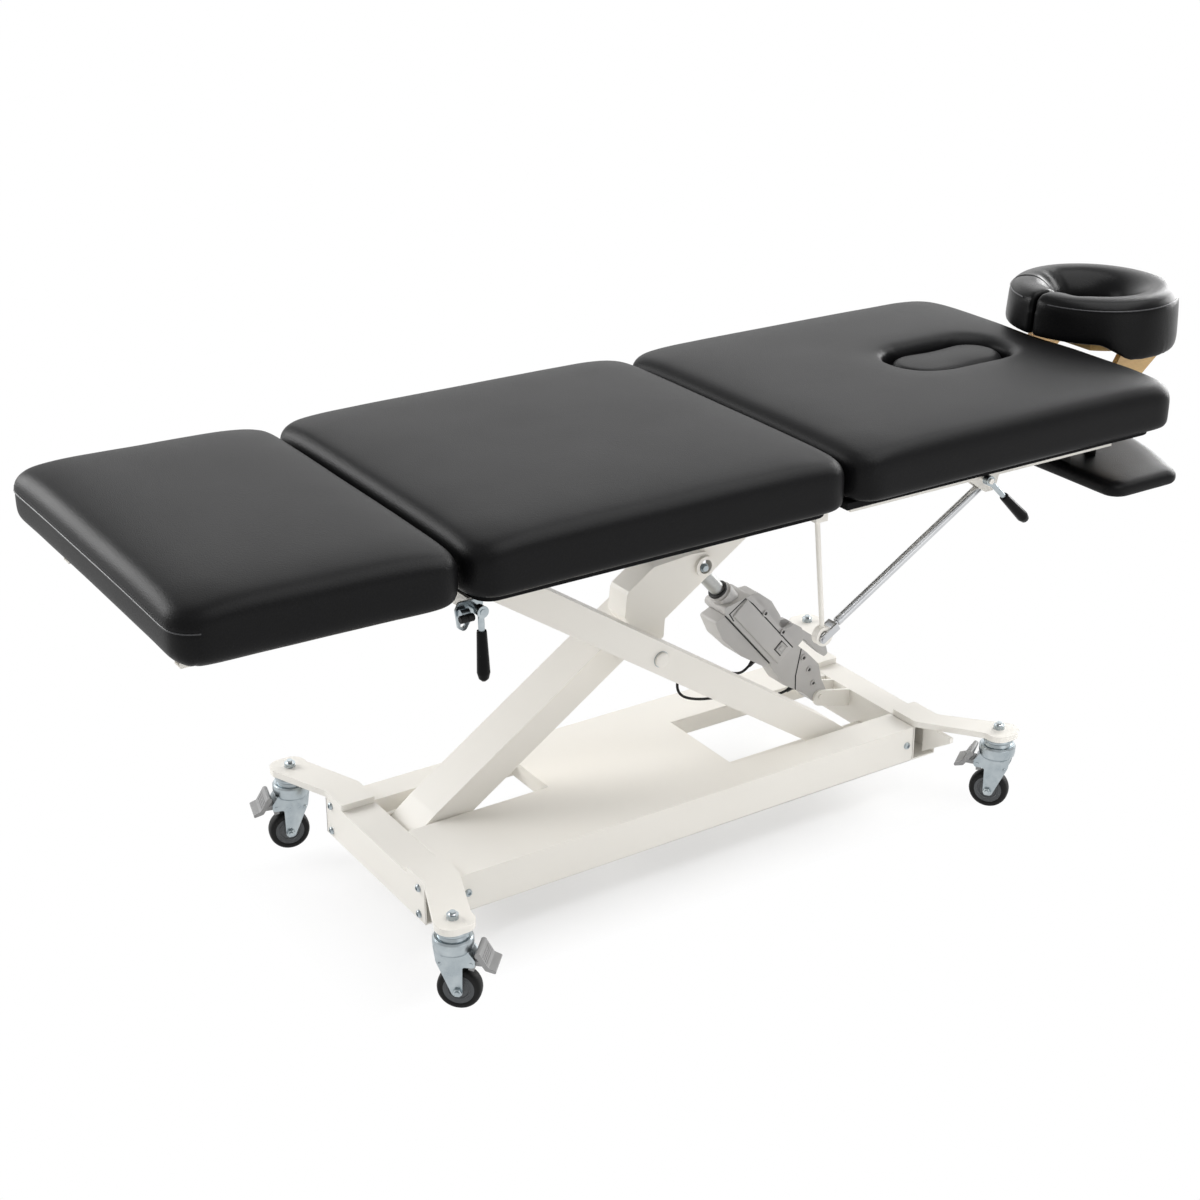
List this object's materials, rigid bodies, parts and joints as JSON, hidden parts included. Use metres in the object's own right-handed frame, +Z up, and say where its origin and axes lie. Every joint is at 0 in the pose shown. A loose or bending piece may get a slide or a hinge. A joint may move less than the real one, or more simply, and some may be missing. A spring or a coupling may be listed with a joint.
{
  "type": "electric treatment table",
  "caption": "Padded treatment table on a white scissor lift with tilting back and leg sections, face cradle, arm shelf and braked castors.",
  "frame": {"origin": "centre of the footprint on the floor", "axes": "+X from the foot end to the head end, +Y across to the far side, +Z up"},
  "size_m": [2.2285, 0.7377, 0.8948],
  "materials": {
    "black_vinyl": "fine grained satin vinyl",
    "black_board": "vinyl wrapped plywood",
    "birch_plywood": "clear varnish",
    "white_powder_coat": "smooth semi-gloss powder coat",
    "zinc_plate": "bright zinc plate",
    "pedal_grey": "moulded grey",
    "black_rubber": "black tread on a grey core",
    "chrome_rod": "polished",
    "satin_aluminium": "satin",
    "grey_plastic": "fine moulded texture",
    "black_grip": "gloss",
    "cable_black": "matt sleeve",
    "black_webbing": "woven"
  },
  "bodies": {
    "base": {"base_deck": "white_powder_coat", "foot_end_beam": "white_powder_coat", "head_end_beam": "white_powder_coat", "outriggers": "white_powder_coat", "castor_stems": "zinc_plate", "frame_bolts": "zinc_plate", "lift_brackets": "white_powder_coat", "roller_tracks": "white_powder_coat"},
    "inner_arm": {"inner_arm": "white_powder_coat", "gooseneck_bracket": "white_powder_coat"},
    "outer_arm": {"outer_arm": "white_powder_coat", "outer_arm_shafts": "zinc_plate"},
    "lower_rollers": {"lower_rollers": "zinc_plate"},
    "upper_rollers": {"upper_rollers": "zinc_plate"},
    "platform": {"upper_frame": "white_powder_coat", "seat_board": "black_board", "seat_cushion": "black_vinyl", "strut_hangers": "white_powder_coat", "seat_hinge_leaves": "zinc_plate", "leg_lever_bracket": "zinc_plate"},
    "back": {"back_board": "black_board", "back_rails": "white_powder_coat", "back_hinge_leaves": "zinc_plate", "back_cushion": "black_vinyl", "cradle_sockets": "zinc_plate", "arm_shelf": "black_vinyl", "shelf_straps": "black_webbing"},
    "plug": {"breather_plug": "black_vinyl"},
    "leg": {"leg_board": "black_board", "leg_rails": "white_powder_coat", "leg_cushion": "black_vinyl"},
    "strut_tube_near": {"strut_tube_near": "chrome_rod"},
    "strut_rod_near": {"strut_rod_near": "chrome_rod"},
    "strut_tube_far": {"strut_tube_far": "chrome_rod"},
    "strut_rod_far": {"strut_rod_far": "chrome_rod"},
    "actuator": {"actuator_housing": "grey_plastic", "motor_cover": "grey_plastic", "motor_cable": "cable_black"},
    "actuator_rod": {"actuator_rod": "satin_aluminium"},
    "release_paddle": {"release_paddle": "grey_plastic"},
    "back_lever": {"back_lever": "zinc_plate", "back_lever_grip": "black_grip"},
    "leg_lever": {"leg_lever": "zinc_plate", "leg_lever_grip": "black_grip"},
    "cradle_posts": {"cradle_posts": "satin_aluminium"},
    "cradle": {"cradle_base": "birch_plywood", "cradle_cushion": "black_vinyl"},
    "cam_lever": {"cradle_cam_lever": "black_grip"},
    "fork_foot_near": {"castor_fork_foot_near": "zinc_plate"},
    "wheel_foot_near": {"castor_wheel_foot_near": "black_rubber"},
    "pedal_foot_near": {"brake_pedal_foot_near": "pedal_grey"},
    "fork_foot_far": {"castor_fork_foot_far": "zinc_plate"},
    "wheel_foot_far": {"castor_wheel_foot_far": "black_rubber"},
    "pedal_foot_far": {"brake_pedal_foot_far": "pedal_grey"},
    "fork_head_near": {"castor_fork_head_near": "zinc_plate"},
    "wheel_head_near": {"castor_wheel_head_near": "black_rubber"},
    "pedal_head_near": {"brake_pedal_head_near": "pedal_grey"},
    "fork_head_far": {"castor_fork_head_far": "zinc_plate"},
    "wheel_head_far": {"castor_wheel_head_far": "black_rubber"},
    "pedal_head_far": {"brake_pedal_head_far": "pedal_grey"}
  },
  "joints": [
    {"name": "lift", "type": "hinge", "parent": "base", "child": "inner_arm", "pos_m": [-0.566, 0.051, 0.115], "axis": [0, -1, 0], "range_deg": [-5, 12]},
    {"name": "arm_cross", "type": "hinge", "parent": "inner_arm", "child": "outer_arm", "pos_m": [-0.14004, 0, 0.39908], "axis": [0, -1, 0], "range_deg": [-24.5, 10.5]},
    {"name": "frame_level", "type": "hinge", "parent": "outer_arm", "child": "platform", "pos_m": [-0.566, -0.066, 0.68316], "axis": [0, -1, 0], "range_deg": [-5.5, 12.5]},
    {"name": "lower_roller_turn", "type": "hinge", "parent": "outer_arm", "child": "lower_rollers", "pos_m": [0.28592, -0.066, 0.115], "axis": [0, 1, 0], "continuous": true},
    {"name": "upper_roller_turn", "type": "hinge", "parent": "inner_arm", "child": "upper_rollers", "pos_m": [0.28592, 0.051, 0.68316], "axis": [0, 1, 0], "continuous": true},
    {"name": "actuator_swing", "type": "hinge", "parent": "base", "child": "actuator", "pos_m": [0.318, 0.038, 0.157], "axis": [0, -1, 0], "range_deg": [-1.5, 1.5]},
    {"name": "actuator_stroke", "type": "slide", "parent": "actuator", "child": "actuator_rod", "axis": [-0.6558, 0, 0.7549], "range_m": [-0.0625, 0.148]},
    {"name": "release_paddle_press", "type": "hinge", "parent": "actuator", "child": "release_paddle", "pos_m": [0.26115, 0.038, 0.30631], "axis": [0, -1, 0], "range_deg": [0, 15], "stiffness_Nm_per_rad": 1.5, "springref_deg": -17.19},
    {"name": "back_tilt", "type": "hinge", "parent": "platform", "child": "back", "pos_m": [0.068, 0, 0.785], "axis": [0, -1, 0], "range_deg": [0, 50]},
    {"name": "leg_tilt", "type": "hinge", "parent": "platform", "child": "leg", "pos_m": [-0.66, 0, 0.696], "axis": [0, -1, 0], "range_deg": [0, 70]},
    {"name": "back_lever_squeeze", "type": "hinge", "parent": "back", "child": "back_lever", "pos_m": [0.394, -0.32, 0.697], "axis": [0, -1, 0], "range_deg": [0, 18], "stiffness_Nm_per_rad": 2, "springref_deg": -22.92},
    {"name": "leg_lever_squeeze", "type": "hinge", "parent": "platform", "child": "leg_lever", "pos_m": [-0.6295, -0.32, 0.697], "axis": [0, -1, 0], "range_deg": [0, 20], "stiffness_Nm_per_rad": 2, "springref_deg": -22.92},
    {"name": "breather_plug_lift", "type": "slide", "parent": "back", "child": "plug", "axis": [0, 0, 1], "range_m": [0, 0.12]},
    {"name": "cradle_draw", "type": "slide", "parent": "back", "child": "cradle_posts", "axis": [1, 0, 0], "range_m": [0, 0.15]},
    {"name": "cradle_tilt", "type": "hinge", "parent": "cradle_posts", "child": "cradle", "pos_m": [0.886, 0, 0.6955], "axis": [0, 1, 0], "range_deg": [0, 25]},
    {"name": "cam_lever_turn", "type": "hinge", "parent": "cradle_posts", "child": "cam_lever", "pos_m": [0.886, -0.1265, 0.6955], "axis": [0, 1, 0], "range_deg": [0, 80]},
    {"name": "strut_swing_near", "type": "hinge", "parent": "back", "child": "strut_tube_near", "pos_m": [0.432, -0.272, 0.672], "axis": [0, -1, 0], "range_deg": [-21.5, 0.5]},
    {"name": "strut_stroke_near", "type": "slide", "parent": "strut_tube_near", "child": "strut_rod_near", "axis": [-0.8592, 0, -0.5117], "range_m": [-0.001, 0.203]},
    {"name": "strut_swing_far", "type": "hinge", "parent": "back", "child": "strut_tube_far", "pos_m": [0.432, 0.272, 0.672], "axis": [0, -1, 0], "range_deg": [-21.5, 0.5]},
    {"name": "strut_stroke_far", "type": "slide", "parent": "strut_tube_far", "child": "strut_rod_far", "axis": [-0.8592, 0, -0.5117], "range_m": [-0.001, 0.203]},
    {"name": "swivel_foot_near", "type": "hinge", "parent": "base", "child": "fork_foot_near", "pos_m": [-0.682, -0.3, 0.12], "axis": [0, 0, 1], "continuous": true},
    {"name": "roll_foot_near", "type": "hinge", "parent": "fork_foot_near", "child": "wheel_foot_near", "pos_m": [-0.67535, -0.30607, 0.0375], "axis": [0.6743, 0.7385, 0], "continuous": true},
    {"name": "brake_foot_near", "type": "hinge", "parent": "fork_foot_near", "child": "pedal_foot_near", "pos_m": [-0.65837, -0.32158, 0.092], "axis": [0.6743, 0.7385, 0], "range_deg": [0, 7]},
    {"name": "swivel_foot_far", "type": "hinge", "parent": "base", "child": "fork_foot_far", "pos_m": [-0.682, 0.3, 0.12], "axis": [0, 0, 1], "continuous": true},
    {"name": "roll_foot_far", "type": "hinge", "parent": "fork_foot_far", "child": "wheel_foot_far", "pos_m": [-0.69069, 0.30233, 0.0375], "axis": [-0.2588, -0.9659, 0], "continuous": true},
    {"name": "brake_foot_far", "type": "hinge", "parent": "fork_foot_far", "child": "pedal_foot_far", "pos_m": [-0.71291, 0.30828, 0.092], "axis": [-0.2588, -0.9659, 0], "range_deg": [0, 7]},
    {"name": "swivel_head_near", "type": "hinge", "parent": "base", "child": "fork_head_near", "pos_m": [0.506, -0.29, 0.12], "axis": [0, 0, 1], "continuous": true},
    {"name": "roll_head_near", "type": "hinge", "parent": "fork_head_near", "child": "wheel_head_near", "pos_m": [0.50084, -0.28263, 0.0375], "axis": [-0.8192, -0.5736, 0], "continuous": true},
    {"name": "brake_head_near", "type": "hinge", "parent": "fork_head_near", "child": "pedal_head_near", "pos_m": [0.48765, -0.26379, 0.092], "axis": [-0.8192, -0.5736, 0], "range_deg": [0, 7]},
    {"name": "swivel_head_far", "type": "hinge", "parent": "base", "child": "fork_head_far", "pos_m": [0.506, 0.29, 0.12], "axis": [0, 0, 1], "continuous": true},
    {"name": "roll_head_far", "type": "hinge", "parent": "fork_head_far", "child": "wheel_head_far", "pos_m": [0.50884, 0.29854, 0.0375], "axis": [-0.9489, 0.3156, 0], "continuous": true},
    {"name": "brake_head_far", "type": "hinge", "parent": "fork_head_far", "child": "pedal_head_far", "pos_m": [0.5161, 0.32036, 0.092], "axis": [-0.9489, 0.3156, 0], "range_deg": [0, 7]}
  ],
  "couplings": [
    {"joint": "arm_cross", "follows": "lift", "ratio": -2},
    {"joint": "frame_level", "follows": "lift", "ratio": 1},
    {"joint": "actuator_swing", "follows": "lift", "ratio": -0.0771},
    {"joint": "actuator_stroke", "follows": "lift", "m_per_rad": 0.69986},
    {"joint": "strut_swing_near", "follows": "back_tilt", "ratio": -0.421},
    {"joint": "strut_stroke_near", "follows": "back_tilt", "m_per_rad": 0.231},
    {"joint": "strut_swing_far", "follows": "back_tilt", "ratio": -0.421},
    {"joint": "strut_stroke_far", "follows": "back_tilt", "m_per_rad": 0.231}
  ]
}
